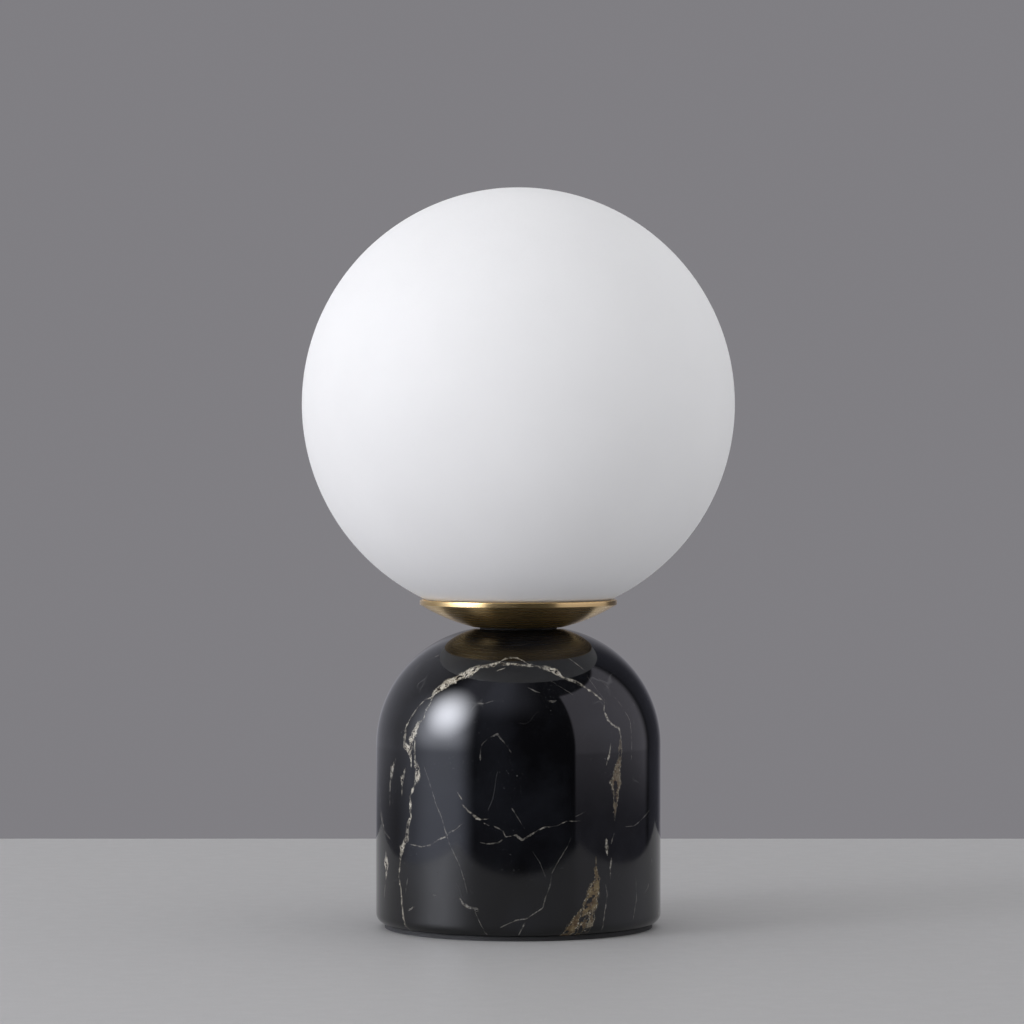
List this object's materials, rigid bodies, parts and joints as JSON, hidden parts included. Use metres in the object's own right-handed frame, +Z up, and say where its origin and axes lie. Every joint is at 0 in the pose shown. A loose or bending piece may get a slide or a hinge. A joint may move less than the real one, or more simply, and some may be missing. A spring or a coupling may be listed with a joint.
{
  "type": "globe table lamp",
  "caption": "Small table lamp: an opal glass globe lifts off a shallow brass dish on a domed marble base, over a pull-out capsule bulb, its holder and the wiring.",
  "frame": {"origin": "centre of the pad's underside, on the lamp's axis", "axes": "+Z up along the lamp's axis, -Y to the front, +Y to the rear where the cord goes in"},
  "size_m": [0.15, 0.15, 0.2563],
  "materials": {
    "opal_glass": "matt acid-etched opal",
    "brushed_brass": "satin, brushed round the axis",
    "plain_brass": "turned, unlacquered",
    "black_marble": "polished near-black with white and gold veins",
    "pad_rubber": "matt",
    "zinc_steel": "zinc plated",
    "nickel_contact": "nickel plated",
    "black_plastic": "matt moulded",
    "white_plastic": "moulded nylon",
    "clear_silicone": "translucent silicone",
    "glazed_steatite": "pressed steatite",
    "bulb_ceramic": "satin white",
    "frosted_envelope": "frosted",
    "light_core": "phosphor coated",
    "lead_brown": "silicone insulation",
    "lead_blue": "silicone insulation",
    "lead_green": "silicone insulation"
  },
  "bodies": {
    "base": {"base_pad": "pad_rubber", "cover_plate": "zinc_steel", "cover_screws": "zinc_steel", "cover_anchors": "plain_brass", "marble_base": "black_marble", "cord_inlet_bush": "black_plastic", "terminal_block": "white_plastic", "terminal_barrels": "plain_brass", "terminal_screws": "zinc_steel", "live_lead": "lead_brown", "neutral_lead": "lead_blue", "earth_lead": "lead_green", "earth_tag": "plain_brass", "base_washer": "zinc_steel", "lock_washer": "zinc_steel", "base_nut": "zinc_steel", "threaded_tube": "zinc_steel", "tube_bushes": "white_plastic", "dish_gasket": "pad_rubber", "brass_dish": "brushed_brass", "gallery_collar": "plain_brass", "globe_seal": "clear_silicone", "gallery_washer": "zinc_steel", "gallery_nut": "zinc_steel", "holder_bracket": "zinc_steel", "holder_nut": "zinc_steel", "holder_body": "glazed_steatite", "holder_contacts": "nickel_contact", "holder_screws": "zinc_steel"},
    "globe": {"glass_globe": "opal_glass"},
    "bulb": {"bulb_cap": "bulb_ceramic", "bulb_pins": "nickel_contact", "bulb_envelope": "frosted_envelope", "bulb_core": "light_core"}
  },
  "joints": [
    {"name": "globe_lift", "type": "slide", "parent": "base", "child": "globe", "axis": [0, 0, 1], "range_m": [0, 0.11]},
    {"name": "bulb_pull", "type": "slide", "parent": "base", "child": "bulb", "axis": [0, 0, 1], "range_m": [0, 0.015]}
  ]
}
